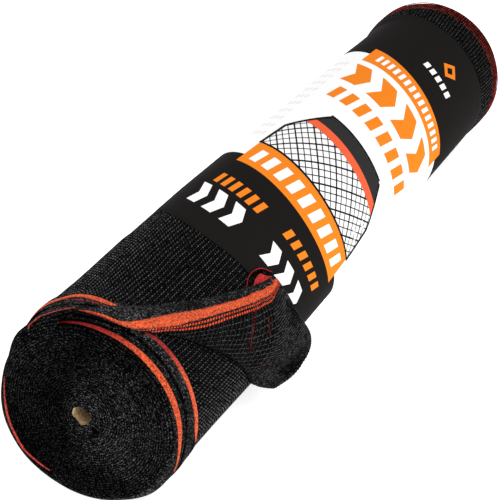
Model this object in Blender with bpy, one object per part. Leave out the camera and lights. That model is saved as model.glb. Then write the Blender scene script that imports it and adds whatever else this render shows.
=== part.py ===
"""A roll of black debris netting, lying on its side, with a printed wrap and a folded-back loose end.

Metres, +Z up. The roll's axis runs along Y, its near end towards -Y. The origin is on the floor,
under the middle of the whole part. Angles round the axis are in degrees, from +X towards +Z.
Shapes are worked out round the roll's own axis, and every finished solid is moved by ROLL_X.
"""
import math

import bmesh
import bpy
from mathutils import Vector

# Driving dimensions
ROLL_LENGTH = 1.305
ROLL_X = -0.0156
SEGMENTS = 72
FLAT_HALF_ANGLE = 10.0
CLEARANCE = 0.0003
SHARP_ANGLE = 40.0
SHEET_SHARP_ANGLE = 60.0

CORE_OUTER_RADIUS = 0.0168
CORE_INNER_RADIUS = 0.0148
CORE_RECESS = 0.006
CORE_CENTRE = (-0.004, 0.1190)

# How far each face of the roll dips in where the netting meets the core
NEAR_DIP = 0.005
FAR_DIP = 0.007

WRAP_THICKNESS = 0.0010
WRAP_NEAR_EDGE = 0.280
WRAP_FAR_EDGE = 1.209
WRAP_LAP_ANGLE = 205.0
WRAP_LAP_WIDTH = 15.0
WRAP_NEAR_BOW = 1.0
WRAP_FAR_BOW = 0.4

# The wrap's edges bow away from the near end round the roll, from their nearest point at BOW_ANGLE
BOW_ANGLE = 51.0
BOW_DEPTH = 0.030

# The netting's outer face from the near bore to the far bore. Each row is one turned section:
# y_m is its distance from the near end, radius_m its radius, floor_m the height of its flat spot
# (raised where the wrap lies under it) and bow how far it follows the bow of the wrap's edges.
NEAR_FACE = (
    # y_m, radius_m
    (0.0030, 0.0230),
    (0.0022, 0.0340),
    (0.0012, 0.0560),
    (0.0004, 0.0830),
    (0.0000, 0.1020),
    (0.0010, 0.1125),
    (0.0030, 0.1180),
    (0.0065, 0.1218),
)
SIDE = (
    # y_m, radius_m, floor_m, bow
    (0.0115, 0.1238, 0.0000, 0.0),
    (0.0165, 0.1243, 0.0000, 0.0),
    (0.0180, 0.1218, 0.0000, 0.0),
    (0.0200, 0.1218, 0.0000, 0.0),
    (0.0210, 0.1250, 0.0000, 0.0),
    (0.0245, 0.1258, 0.0000, 0.0),
    (0.0262, 0.1240, 0.0000, 0.0),
    (0.0278, 0.1240, 0.0000, 0.0),
    (0.0292, 0.1266, 0.0000, 0.0),
    (0.0370, 0.1280, 0.0000, 0.0),
    (0.0580, 0.1284, 0.0000, 0.0),
    (0.0860, 0.1274, 0.0000, 0.0),
    (0.1500, 0.1271, 0.0000, 0.1),
    (0.2080, 0.1276, 0.0000, 0.6),
    (0.2580, 0.1280, 0.0000, 1.0),
    (0.2680, 0.1276, 0.0000, 1.0),
    (0.2770, 0.1266, 0.0016, 1.0),
    (0.4400, 0.1275, 0.0016, 0.9),
    (0.5800, 0.1280, 0.0016, 0.8),
    (0.7400, 0.1266, 0.0016, 0.7),
    (0.8900, 0.1246, 0.0016, 0.6),
    (1.0400, 0.1228, 0.0016, 0.5),
    (1.1300, 0.1217, 0.0016, 0.45),
    (1.2120, 0.1209, 0.0016, 0.4),
    (1.2200, 0.1226, 0.0000, 0.4),
    (1.2360, 0.1240, 0.0000, 0.3),
    (1.2620, 0.1256, 0.0000, 0.1),
    (1.2840, 0.1256, 0.0000, 0.0),
)
FAR_FACE = (
    # y_m, radius_m
    (1.2960, 0.1236),
    (1.3030, 0.1180),
    (1.3050, 0.1020),
    (1.3044, 0.0830),
    (1.3034, 0.0560),
    (1.3026, 0.0340),
    (1.3020, 0.0230),
)

# Long, shallow swellings of the wound netting, which fade out towards the flat spot
THREE_SIDED_SWELLING = 0.0007
OVAL_SWELLING = 0.0006
FACE_SWELLING = 0.0010
SWELLING_FADE = (15.0, 50.0)

# The last turn rides up a little from the turns below it, on the side where its corner is turned
# back: round LIFT_ANGLE, and along the roll between the places where it rises and falls again.
LIFT_ANGLE = 118.0
LIFT_SPREAD = 34.0
LIFT_HEIGHT = 0.0028
LIFT_RISE = (0.020, 0.034)
LIFT_FALL = (0.060, 0.100)

# The loose end. Each row is one section across it, from the crease to its free, orange-striped edge.
# A place is (angle, y_m from the near end, height_m above the roll) of the middle of the sheet.
LOOSE_END = (
    # crease, lower third, upper third, striped edge
    ((88.0, 0.0245, 0.0042), (87.0, 0.0300, 0.0075), (86.0, 0.0370, 0.0070), (85.0, 0.0440, 0.0042)),
    ((64.0, 0.0290, 0.0062), (66.0, 0.0450, 0.0112), (67.0, 0.0640, 0.0090), (68.0, 0.0830, 0.0048)),
    ((36.0, 0.0960, 0.0062), (41.0, 0.1180, 0.0120), (46.0, 0.1410, 0.0105), (50.0, 0.1620, 0.0062)),
    ((3.0, 0.1840, 0.0062), (12.0, 0.2140, 0.0140), (25.0, 0.2410, 0.0118), (37.0, 0.2480, 0.0080)),
    ((-18.0, 0.2320, 0.0066), (-8.0, 0.2780, 0.0250), (10.0, 0.3040, 0.0150), (32.5, 0.2980, 0.0104)),
    ((-33.0, 0.2670, 0.0132), (-20.0, 0.3210, 0.0420), (-4.0, 0.3460, 0.0225), (31.0, 0.3310, 0.0125)),
)
LOOSE_END_PLACES = (0.04, 0.25, 0.50, 0.75, 0.90, 1.00)
LOOSE_END_ROWS = 26
LOOSE_END_COLUMNS = 22
COLUMN_CROWDING = 1.35
SHEET_THICKNESS = 0.0020
STEPS_END = 0.034

# Under the crease the sheet runs back as a short lip. CREASE_HEIGHT is the crease's usual height
# above the roll, LIP_HEIGHT the lip's, and the bend is round by BEND_SHARE of the lip's length.
LIP_LENGTH = 0.014
LIP_HEIGHT = 0.0015
CREASE_HEIGHT = 0.0062
BEND_SHARE = 0.35
BEND_DROP = 0.0003
BEND_RISE = 0.0045
# Shares of a section's width at which its lip's end, bend, crease, bend, thirds and free edge lie
SECTION_SHARES = (0.0, 0.08, 0.16, 0.24, 0.50, 0.75, 1.0)


def remove_everything():
    for thing in list(bpy.data.objects):
        bpy.data.objects.remove(thing, do_unlink=True)


def make_material(name, colour, roughness):
    material = bpy.data.materials.new(name)
    material.use_nodes = True
    shader = material.node_tree.nodes["Principled BSDF"]
    shader.inputs["Base Color"].default_value = (*colour, 1.0)
    shader.inputs["Roughness"].default_value = roughness
    return material


def make_object(name, builder, material, sharp_angle):
    """Makes a named object from a bmesh, smooth but for edges sharper than the given angle."""
    bmesh.ops.recalc_face_normals(builder, faces=builder.faces)
    bmesh.ops.translate(builder, verts=builder.verts, vec=(ROLL_X, 0.0, 0.0))
    mesh = bpy.data.meshes.new(name)
    builder.to_mesh(mesh)
    builder.free()
    mesh.shade_smooth()
    mesh.set_sharp_from_angle(angle=math.radians(sharp_angle))
    mesh.materials.append(material)
    thing = bpy.data.objects.new(name, mesh)
    bpy.context.scene.collection.objects.link(thing)
    return thing


def smooth_step(low, high, value):
    ratio = min(1.0, max(0.0, (value - low) / (high - low)))
    return ratio * ratio * (3.0 - 2.0 * ratio)


def angle_apart(first, second):
    return abs((first - second + 180.0) % 360.0 - 180.0)


def edge_bow(angle):
    return BOW_DEPTH * (1.0 - math.cos(math.radians(angle - BOW_ANGLE)))


def unevenness(angle, y):
    turn = math.radians(angle)
    three_sided = THREE_SIDED_SWELLING * math.sin(3.0 * turn + 7.0 * y)
    oval = OVAL_SWELLING * math.sin(2.0 * turn - 11.0 * y + 1.0)
    return (three_sided + oval) * smooth_step(*SWELLING_FADE, angle_apart(angle, -90.0))


def last_turn_lift(angle, y):
    around = 1.0 - smooth_step(0.0, LIFT_SPREAD, angle_apart(angle, LIFT_ANGLE))
    along = smooth_step(*LIFT_RISE, y) * (1.0 - smooth_step(*LIFT_FALL, y))
    return LIFT_HEIGHT * around * along


def side_sections(angle):
    """Each section of the side at one angle: its y, radius, flat-spot height and axis height."""
    sections = []
    for y_row, radius, floor, bow in SIDE:
        y = y_row + bow * edge_bow(angle)
        axis_height = floor + radius * math.cos(math.radians(FLAT_HALF_ANGLE))
        sections.append((y, radius + unevenness(angle, y) + last_turn_lift(angle, y), floor, axis_height))
    return sections


def side_at(y, angle):
    """The radius, flat-spot height and axis height of the netting's side at a place along the roll."""
    sections = side_sections(angle)
    if y <= sections[0][0]:
        return sections[0][1:]
    if y >= sections[-1][0]:
        return sections[-1][1:]
    after = next(i for i, section in enumerate(sections) if section[0] > y)
    low, high = sections[after - 1], sections[after]
    ratio = (y - low[0]) / (high[0] - low[0])
    return tuple(a + ratio * (b - a) for a, b in zip(low[1:], high[1:]))


def on_roll(angle, y, height):
    """A point at a height over the netting's side, with the flat spot pushed down by that height too."""
    radius, floor, axis_height = side_at(y, angle)
    turn = math.radians(angle)
    reach = radius + height
    z = axis_height + reach * math.sin(turn)
    return Vector((reach * math.cos(turn), y - ROLL_LENGTH / 2.0, max(z, floor - height)))


def over_steps(angle, y, height):
    """A point over the roll as on_roll gives it, but level across the stepped turns at the near end."""
    point = on_roll(angle, max(y, STEPS_END), height)
    point.y = y - ROLL_LENGTH / 2.0
    return point


def on_face(angle, y, radius, rim_radius, rim_axis_height):
    """A point on an end of the roll, where the turns shift from the core's centre to the rim's."""
    start = CORE_OUTER_RADIUS
    share = smooth_step(0.0, 1.0, (radius - start) / (rim_radius - start))
    centre_x = CORE_CENTRE[0] * (1.0 - share)
    centre_z = CORE_CENTRE[1] * (1.0 - share) + rim_axis_height * share
    turn = math.radians(angle)
    swelling = FACE_SWELLING * math.sin(2.0 * turn + 40.0 * radius) * 4.0 * share * (1.0 - share)
    reach = radius + swelling
    z = max(centre_z + reach * math.sin(turn), 0.0)
    return Vector((centre_x + reach * math.cos(turn), y - ROLL_LENGTH / 2.0, z))


def all_angles():
    step = 360.0 / SEGMENTS
    return [-180.0 + step * i for i in range(SEGMENTS)]


def bridge(builder, rings):
    """Joins neighbouring rings of vertices with quads, and the last ring to the first."""
    for first, second in zip(rings, rings[1:] + rings[:1]):
        for i in range(len(first)):
            j = (i + 1) % len(first)
            builder.faces.new((first[i], first[j], second[j], second[i]))


def add_ring(builder, points):
    return [builder.verts.new(point) for point in points]


def build_net_roll(material):
    """The wound netting: one solid round its bore, with set-back turns at the near end."""
    builder = bmesh.new()
    angles = all_angles()
    near_rim = side_at(SIDE[0][0], BOW_ANGLE)
    far_rim = side_at(SIDE[-1][0], BOW_ANGLE)
    bore = CORE_OUTER_RADIUS + CLEARANCE
    rings = []

    def face_ring(y, radius, rim):
        rings.append(add_ring(builder, [on_face(a, y, radius, rim[0], rim[2]) for a in angles]))

    face_ring(NEAR_DIP, bore, near_rim)
    for y, radius in NEAR_FACE:
        face_ring(y, radius, near_rim)
    for y, _, _, bow in SIDE:
        points = [on_roll(a, y + bow * edge_bow(a), 0.0) for a in angles]
        rings.append(add_ring(builder, points))
    for y, radius in FAR_FACE:
        face_ring(y, radius, far_rim)
    face_ring(ROLL_LENGTH - FAR_DIP, bore, far_rim)
    bridge(builder, rings)
    return make_object("net_roll", builder, material, SHARP_ANGLE)


def build_core_tube(material):
    """The kraft tube that the netting is wound on, a little short of both faces."""
    builder = bmesh.new()
    half = ROLL_LENGTH / 2.0 - CORE_RECESS
    rings = []
    for radius, y in (
        (CORE_OUTER_RADIUS, -half),
        (CORE_OUTER_RADIUS, half),
        (CORE_INNER_RADIUS, half),
        (CORE_INNER_RADIUS, -half),
    ):
        points = []
        for angle in all_angles()[::2]:
            turn = math.radians(angle)
            x = CORE_CENTRE[0] + radius * math.cos(turn)
            points.append((x, y, CORE_CENTRE[1] + radius * math.sin(turn)))
        rings.append(add_ring(builder, points))
    bridge(builder, rings)
    return make_object("core_tube", builder, material, SHARP_ANGLE)


def build_label_wrap(material):
    """The printed wrap: one strip round the netting, its end lapped over its start."""
    builder = bmesh.new()
    step = 360.0 / SEGMENTS
    turns = SEGMENTS + round(WRAP_LAP_WIDTH / step)
    sections = [(WRAP_NEAR_EDGE, WRAP_NEAR_BOW)]
    sections += [(row[0], row[3]) for row in SIDE if WRAP_NEAR_EDGE < row[0] < WRAP_FAR_EDGE]
    sections.append((WRAP_FAR_EDGE, WRAP_FAR_BOW))
    last = len(sections) - 1
    inner_rings = []
    outer_rings = []
    for i in range(turns + 1):
        angle = WRAP_LAP_ANGLE + step * i
        past_start = angle - WRAP_LAP_ANGLE - 360.0
        lap = smooth_step(-3.0 * step, -0.5 * step, past_start)
        inner_height = CLEARANCE + lap * (WRAP_THICKNESS + CLEARANCE)
        inner = []
        outer = []
        for y_row, bow in sections:
            y = y_row + bow * edge_bow(angle)
            inner.append(builder.verts.new(on_roll(angle, y, inner_height)))
            outer.append(builder.verts.new(on_roll(angle, y, inner_height + WRAP_THICKNESS)))
        inner_rings.append(inner)
        outer_rings.append(outer)
    for i in range(turns):
        for row in range(last):
            builder.faces.new((inner_rings[i][row], inner_rings[i][row + 1],
                               inner_rings[i + 1][row + 1], inner_rings[i + 1][row]))
            builder.faces.new((outer_rings[i][row], outer_rings[i + 1][row],
                               outer_rings[i + 1][row + 1], outer_rings[i][row + 1]))
        for row in (0, last):
            builder.faces.new((inner_rings[i][row], inner_rings[i + 1][row],
                               outer_rings[i + 1][row], outer_rings[i][row]))
    for i in (0, turns):
        for row in range(last):
            builder.faces.new((inner_rings[i][row], inner_rings[i][row + 1],
                               outer_rings[i][row + 1], outer_rings[i][row]))
    return make_object("label_wrap", builder, material, SHARP_ANGLE)


def smooth_curve(places, values, where):
    """A smooth curve through tuples of numbers at uneven places (cubic Hermite, central slopes)."""
    last = len(places) - 1
    low = min(last - 1, max(0, sum(1 for place in places if place <= where) - 1))
    high = low + 1

    def slope(i):
        before, after = max(0, i - 1), min(last, i + 1)
        span = places[after] - places[before]
        return [(b - a) / span for a, b in zip(values[before], values[after])]

    span = places[high] - places[low]
    u = (where - places[low]) / span
    start_weight = 2.0 * u ** 3 - 3.0 * u ** 2 + 1.0
    end_weight = 1.0 - start_weight
    start_slope = (u ** 3 - 2.0 * u ** 2 + u) * span
    end_slope = (u ** 3 - u ** 2) * span
    rows = zip(values[low], values[high], slope(low), slope(high))
    return [start_weight * a + end_weight * b + start_slope * m + end_slope * n for a, b, m, n in rows]


def loose_end_section(where):
    """Points over the roll along one section of the loose end, from its lip under the crease."""
    places = []
    for column in range(4):
        rows = [row[column] for row in LOOSE_END]
        places.append(smooth_curve(LOOSE_END_PLACES, rows, where))
    crease, lower, upper, striped = places
    arc_scale = math.radians(1.0) * SIDE[0][1]
    run = math.hypot((lower[0] - crease[0]) * arc_scale, lower[1] - crease[1])
    towards = [(lower[0] - crease[0]) / run, (lower[1] - crease[1]) / run]
    length = min(LIP_LENGTH, 0.8 * run)
    lip_height = LIP_HEIGHT + max(0.0, crease[2] - CREASE_HEIGHT)

    def beside(distance, height):
        return [crease[0] + towards[0] * distance, crease[1] + towards[1] * distance, height]

    return [
        beside(length, lip_height),
        beside(length * BEND_SHARE, lip_height + BEND_DROP),
        crease,
        beside(length * BEND_SHARE, min(crease[2] + BEND_RISE, lower[2])),
        lower,
        upper,
        striped,
    ]


def build_loose_end(material):
    """The corner of the last turn, turned back over the roll and the wrap: one doubled sheet."""
    builder = bmesh.new()
    grid = []
    start = LOOSE_END_PLACES[0]
    for row in range(LOOSE_END_ROWS + 1):
        where = start + (1.0 - start) * row / LOOSE_END_ROWS
        section = loose_end_section(where)
        line = []
        for column in range(LOOSE_END_COLUMNS + 1):
            share = (column / LOOSE_END_COLUMNS) ** COLUMN_CROWDING
            angle, y, height = smooth_curve(SECTION_SHARES, section, share)
            line.append(builder.verts.new(over_steps(angle, y, height)))
        grid.append(line)
    for first, second in zip(grid, grid[1:]):
        for i in range(LOOSE_END_COLUMNS):
            builder.faces.new((first[i], first[i + 1], second[i + 1], second[i]))
    thing = make_object("loose_end", builder, material, SHEET_SHARP_ANGLE)
    thicken = thing.modifiers.new("Thickness", "SOLIDIFY")
    thicken.thickness = SHEET_THICKNESS
    thicken.offset = 0.0
    return thing


def main():
    remove_everything()
    net_black = make_material("net_black", (0.014, 0.014, 0.015), 0.62)
    kraft = make_material("kraft_card", (0.42, 0.29, 0.16), 0.85)
    print_paper = make_material("printed_paper", (0.80, 0.79, 0.77), 0.40)
    build_net_roll(net_black)
    build_core_tube(kraft)
    build_label_wrap(print_paper)
    build_loose_end(net_black)


main()
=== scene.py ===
"""The looks of a roll of black debris netting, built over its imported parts.

Metres, +Z up, in the parts' own frame: the roll's axis runs along Y with its near end towards -Y,
and the origin is on the floor under the middle of the whole part. Angles round the axis are in
degrees, from +X towards +Z. Places along the roll (y_m) are measured from the near end.
"""
import functools
import math

import bpy
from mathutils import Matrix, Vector, noise


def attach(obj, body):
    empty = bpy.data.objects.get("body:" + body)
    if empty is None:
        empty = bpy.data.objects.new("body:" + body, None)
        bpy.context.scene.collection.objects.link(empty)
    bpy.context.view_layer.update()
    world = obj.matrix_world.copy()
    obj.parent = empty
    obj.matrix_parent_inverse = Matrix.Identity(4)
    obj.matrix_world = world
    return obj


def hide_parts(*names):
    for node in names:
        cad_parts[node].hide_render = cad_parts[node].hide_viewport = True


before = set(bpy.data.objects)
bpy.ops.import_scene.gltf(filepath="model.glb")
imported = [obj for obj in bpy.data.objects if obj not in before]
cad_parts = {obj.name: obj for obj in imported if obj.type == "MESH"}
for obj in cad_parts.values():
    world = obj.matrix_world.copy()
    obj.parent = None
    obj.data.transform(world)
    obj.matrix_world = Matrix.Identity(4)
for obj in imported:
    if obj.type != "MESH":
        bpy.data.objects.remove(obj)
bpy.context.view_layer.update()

# The view: the camera stands to the right of the near end and looks down along the roll. A white
# room lights it softly, a broad lamp from the upper right gives the shine, and one on the left fills.
scene = bpy.context.scene
bpy.ops.object.select_all(action="DESELECT")
bpy.ops.object.camera_add(
    location=(0.9887, -2.4049, 1.3518),
    rotation=(math.radians(63.55), 0.0, math.radians(24.06)),
)
camera = bpy.context.object
camera.data.lens = 137.2
camera.data.sensor_width = 36.0
scene.camera = camera
scene.view_settings.view_transform = "Standard"

world = bpy.data.worlds.new("white_room")
world.use_nodes = True
world.node_tree.nodes["Background"].inputs["Color"].default_value = (1.0, 1.0, 1.0, 1.0)
world.node_tree.nodes["Background"].inputs["Strength"].default_value = 0.92
scene.world = world


def add_lamp(name, place, target, size, watts):
    """A square soft lamp that faces its target."""
    facing = (Vector(target) - Vector(place)).to_track_quat("-Z", "Y").to_euler()
    bpy.ops.object.light_add(type="AREA", location=place, rotation=facing)
    lamp = bpy.context.object
    lamp.name = name
    lamp.data.size = size
    lamp.data.energy = watts


add_lamp("key_lamp", (1.7, -2.0, 2.0), (0.0, -0.3, 0.1), 0.9, 25.0)
add_lamp("side_lamp", (-2.2, -1.8, 1.4), (0.0, -0.4, 0.1), 1.2, 10.0)


# The studio floor: a pale plane that the roll lies on. It takes the roll's soft shadow and is no
# part of it.
def plain_material(name, colour, roughness, shine=0.5):
    """A material of one colour. shine is its specular level; a dull one has no sheen at its edges."""
    material = bpy.data.materials.new(name)
    material.use_nodes = True
    shader = material.node_tree.nodes["Principled BSDF"]
    shader.inputs["Base Color"].default_value = (*colour, 1.0)
    shader.inputs["Roughness"].default_value = roughness
    shader.inputs["Specular IOR Level"].default_value = shine
    shader.inputs["IOR"].default_value = 1.5 if shine > 0.1 else 1.12
    return material


bpy.ops.object.select_all(action="DESELECT")
bpy.ops.mesh.primitive_plane_add(size=14.0)
floor = bpy.context.object
floor.name = "studio_floor"
floor_white = plain_material("floor_white", (0.85, 0.85, 0.85), 0.9)
floor_shader = floor_white.node_tree.nodes["Principled BSDF"]
floor_shader.inputs["Emission Color"].default_value = (1.0, 1.0, 1.0, 1.0)
floor_shader.inputs["Emission Strength"].default_value = 0.72
floor.data.materials.append(floor_white)


# The card core: a plain kraft tube that the netting is wound on. It shows in the near end's hole,
# where the innermost turns have slumped over its rim. The part's own tube is kept.
def add_node(material, kind, **values):
    """A node of a material, with the named inputs set."""
    node = material.node_tree.nodes.new(kind)
    for name, value in values.items():
        node.inputs[name.replace("_", " ")].default_value = value
    return node


def join(material, source, output, target, socket):
    material.node_tree.links.new(source.outputs[output], target.inputs[socket])


def join_shader(material, source, output, socket):
    join(material, source, output, material.node_tree.nodes["Principled BSDF"], socket)


def ramp_from(material, source, output, stops):
    """A colour ramp through (position, colour) stops, led by a node's output."""
    ramp = add_node(material, "ShaderNodeValToRGB")
    while len(ramp.color_ramp.elements) < len(stops):
        ramp.color_ramp.elements.new(0.5)
    for element, (position, colour) in zip(ramp.color_ramp.elements, stops):
        element.position = position
        element.color = (*colour, 1.0)
    join(material, source, output, ramp, "Fac")
    return ramp


def noise_tones(material, places, scale, detail, roughness, stops):
    """A noise over the piece's own places, and its colours."""
    texture = add_node(material, "ShaderNodeTexNoise", Scale=scale, Detail=detail, Roughness=roughness)
    join(material, places, "Object", texture, "Vector")
    return texture, ramp_from(material, texture, "Fac", stops)


def bump_from(material, source, output, strength, distance):
    bump = add_node(material, "ShaderNodeBump", Strength=strength, Distance=distance)
    join(material, source, output, bump, "Height")
    join_shader(material, bump, "Normal", "Normal")


kraft = plain_material("kraft_card", (0.42, 0.29, 0.16), 0.85, 0.2)
kraft_fibres, kraft_tones = noise_tones(
    kraft, add_node(kraft, "ShaderNodeTexCoord"), 260.0, 4.0, 0.6,
    ((0.3, (0.24, 0.15, 0.07)), (0.7, (0.6, 0.45, 0.26))),
)
join_shader(kraft, kraft_tones, "Color", "Base Color")
bump_from(kraft, kraft_fibres, "Fac", 0.4, 0.0005)
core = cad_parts["core_tube"]
core.data.materials.clear()
core.data.materials.append(kraft)

# The wound netting: one doubled strip of knitted black netting wound round the core. Its turns
# show on the near face as fine rings, and at the near rim the last turns stand back in steps.
ROLL_LENGTH = 1.305
ROLL_X = -0.0156
AXIS_HEIGHT = 0.125
FLAT_HALF_ANGLE = 10.0
CORE_RADIUS = 0.0168
FIRST_TURN = 0.0215
CORE_CENTRE = (-0.004, 0.119)
BOW_ANGLE = 51.0
BOW_DEPTH = 0.03
RIM_Y = 0.0115
FAR_RIM_Y = 1.284
NEAR_FACE = (
    # y_m, radius
    (0.005, 0.0171), (0.003, 0.023), (0.0022, 0.034), (0.0012, 0.056), (0.0004, 0.083),
    (0.0, 0.102), (0.001, 0.1125), (0.003, 0.118), (0.0065, 0.1218), (RIM_Y, 0.1238),
)
SIDE = (
    # y_m, radius, height of the flat spot, share of the bow of the wrap's edges
    (RIM_Y, 0.1238, 0.0, 0.0), (0.0165, 0.1243, 0.0, 0.0), (0.018, 0.1218, 0.0, 0.0),
    (0.02, 0.1218, 0.0, 0.0), (0.021, 0.125, 0.0, 0.0), (0.0245, 0.1258, 0.0, 0.0),
    (0.0262, 0.124, 0.0, 0.0), (0.0278, 0.124, 0.0, 0.0), (0.0292, 0.1266, 0.0, 0.0),
    (0.037, 0.128, 0.0, 0.0), (0.058, 0.1284, 0.0, 0.0), (0.086, 0.1274, 0.0, 0.0),
    (0.15, 0.1271, 0.0, 0.1), (0.208, 0.1276, 0.0, 0.6), (0.258, 0.128, 0.0, 1.0),
    (0.268, 0.1276, 0.0, 1.0), (0.277, 0.1266, 0.0016, 1.0), (0.44, 0.1275, 0.0016, 0.9),
    (0.58, 0.128, 0.0016, 0.8), (0.74, 0.1266, 0.0016, 0.7), (0.89, 0.1246, 0.0016, 0.6),
    (1.04, 0.1228, 0.0016, 0.5), (1.13, 0.1217, 0.0016, 0.45), (1.212, 0.1209, 0.0016, 0.4),
    (1.22, 0.1226, 0.0, 0.4), (1.236, 0.124, 0.0, 0.3), (1.262, 0.1256, 0.0, 0.1),
    (FAR_RIM_Y, 0.1256, 0.0, 0.0),
)
FAR_FACE = (
    # y_m, radius
    (FAR_RIM_Y, 0.1256), (1.296, 0.1236), (1.303, 0.118), (1.305, 0.102), (1.3044, 0.083),
    (1.3034, 0.056), (1.3026, 0.034), (1.302, 0.023), (1.298, 0.0171),
)


def smooth_step(low, high, value):
    ratio = min(1.0, max(0.0, (value - low) / (high - low)))
    return ratio * ratio * (3.0 - 2.0 * ratio)


def fading(low, high, value):
    return 1.0 - smooth_step(low, high, value)


def along_table(table, value):
    """Straight-line values of a table whose first column rises."""
    if value <= table[0][0]:
        return table[0][1]
    for before, after in zip(table, table[1:]):
        if value <= after[0]:
            ratio = (value - before[0]) / (after[0] - before[0])
            return before[1] + ratio * (after[1] - before[1])
    return table[-1][1]


def angle_apart(first, second):
    return abs((first - second + 180.0) % 360.0 - 180.0)


def unevenness(angle, y):
    turn = math.radians(angle)
    three_sided = 0.0007 * math.sin(3.0 * turn + 7.0 * y)
    oval = 0.0006 * math.sin(2.0 * turn - 11.0 * y + 1.0)
    return (three_sided + oval) * smooth_step(15.0, 50.0, angle_apart(angle, -90.0))


def slackness(angle, y):
    """Small bulges where the winding is slack: the upper left, and two sides of the near end."""
    upper_left = 0.0026 * fading(12.0, 50.0, angle_apart(angle, 142.0))
    upper_left *= smooth_step(0.03, 0.08, y) * fading(0.42, 0.62, y)
    low_right = 0.0045 * fading(6.0, 34.0, angle_apart(angle, 322.0))
    low_left = 0.0032 * fading(8.0, 42.0, angle_apart(angle, 208.0))
    return upper_left + (low_right + low_left) * fading(0.03, 0.09, y)


def last_turn_lift(angle, y):
    around = fading(0.0, 34.0, angle_apart(angle, 118.0))
    return 0.002 * around * smooth_step(0.02, 0.034, y) * fading(0.06, 0.1, y)


@functools.lru_cache(maxsize=4096)
def side_sections(angle):
    """Each section of the side at one angle: its y_m, radius, flat spot's height and axis height."""
    edge_bow = BOW_DEPTH * (1.0 - math.cos(math.radians(angle - BOW_ANGLE)))
    sections = []
    for y_row, radius, floor_height, bow in SIDE:
        y = y_row + bow * edge_bow
        axis_height = floor_height + radius * math.cos(math.radians(FLAT_HALF_ANGLE))
        true_radius = radius + unevenness(angle, y) + last_turn_lift(angle, y) + slackness(angle, y)
        sections.append((y, true_radius, floor_height, axis_height))
    return sections


def side_at(y, angle):
    """The radius, flat spot's height and axis height at a place on the side."""
    sections = side_sections(angle)
    if y <= sections[0][0]:
        return sections[0][1:]
    if y >= sections[-1][0]:
        return sections[-1][1:]
    after = next(i for i, section in enumerate(sections) if section[0] > y)
    low, high = sections[after - 1], sections[after]
    ratio = (y - low[0]) / (high[0] - low[0])
    return tuple(a + ratio * (b - a) for a, b in zip(low[1:], high[1:]))


def on_roll(angle, y, height):
    """A point at a height over the netting's side, never below the floor."""
    radius, floor_height, axis_height = side_at(y, angle)
    turn = math.radians(angle)
    reach = radius + height
    z = max(axis_height + reach * math.sin(turn), floor_height - height, 0.0)
    return Vector((ROLL_X + reach * math.cos(turn), y - ROLL_LENGTH / 2.0, z))


def on_face(angle, y, radius, rim):
    """A point on an end of the roll, where the turns shift from the core's centre to the rim's."""
    share = smooth_step(CORE_RADIUS, rim[0], radius)
    centre_x = CORE_CENTRE[0] * (1.0 - share)
    centre_z = CORE_CENTRE[1] * (1.0 - share) + rim[2] * share
    turn = math.radians(angle)
    swelling = 0.001 * math.sin(2.0 * turn + 40.0 * radius) * 4.0 * share * (1.0 - share)
    reach = radius + swelling + slackness(angle, RIM_Y) * share ** 3
    z = max(centre_z + reach * math.sin(turn), 0.0)
    return Vector((ROLL_X + centre_x + reach * math.cos(turn), y - ROLL_LENGTH / 2.0, z))


NEAR_RIM = side_at(RIM_Y, BOW_ANGLE)
FAR_RIM = side_at(FAR_RIM_Y, BOW_ANGLE)


def over_rim(angle, distance, height):
    """A point over the near end: distance is y_m on the side, and goes on below the side's start
    over the rounded rim and inwards on the face."""
    if distance >= RIM_Y:
        return on_roll(angle, distance, height)
    left = RIM_Y - distance
    turned_over = smooth_step(0.0, 0.004, left)
    for outer, inner in zip(NEAR_FACE[::-1], NEAR_FACE[-2::-1]):
        run_y = inner[0] - outer[0]
        run_radius = inner[1] - outer[1]
        length = math.hypot(run_y, run_radius)
        if left <= length:
            ratio = left / length
            y = outer[0] + ratio * run_y + turned_over * height * run_radius / length
            rise = height * (1.0 - turned_over * (1.0 + run_y / length))
            return on_face(angle, y, outer[1] + ratio * run_radius + rise, NEAR_RIM)
        left -= length
    return on_face(angle, *NEAR_FACE[0], NEAR_RIM)


def make_grid(name, columns, rows, place, material, merge=0.0, flip=False):
    """A flat grid moved into place point by point. place(u, v) gives a point for shares 0 to 1.
    flip turns its faces over, where u runs up round the roll and v along it."""
    bpy.ops.object.select_all(action="DESELECT")
    bpy.ops.mesh.primitive_grid_add(x_subdivisions=columns, y_subdivisions=rows, size=1.0)
    thing = bpy.context.object
    thing.name = name
    thing.data.name = name
    for vertex in thing.data.vertices:
        vertex.co = place(vertex.co.x + 0.5, vertex.co.y + 0.5)
    bpy.ops.object.mode_set(mode="EDIT")
    bpy.ops.mesh.select_all(action="SELECT")
    if merge:
        bpy.ops.mesh.remove_doubles(threshold=merge)
        bpy.ops.mesh.normals_make_consistent(inside=False)
    if flip:
        bpy.ops.mesh.flip_normals()
    bpy.ops.object.mode_set(mode="OBJECT")
    bpy.ops.object.shade_smooth()
    thing.data.materials.append(material)
    return thing


def give_finishes(thing, materials, choice):
    """Adds materials to the first, and gives each face the one whose number choice(face) returns."""
    for material in materials:
        thing.data.materials.append(material)
    for polygon in thing.data.polygons:
        polygon.material_index = choice(polygon)


def lies_on_roll(thing):
    """The piece stays with the roll."""
    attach(thing, "root")
    return thing


def grey(tone):
    return (tone, tone, tone)


def multiplied(material, first, first_output, second, second_output):
    """One colour times another, on output 2."""
    node = add_node(material, "ShaderNodeMix")
    node.data_type = "RGBA"
    node.blend_type = "MULTIPLY"
    node.inputs[0].default_value = 1.0
    join(material, first, first_output, node, 6)
    join(material, second, second_output, node, 7)
    return node


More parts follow.
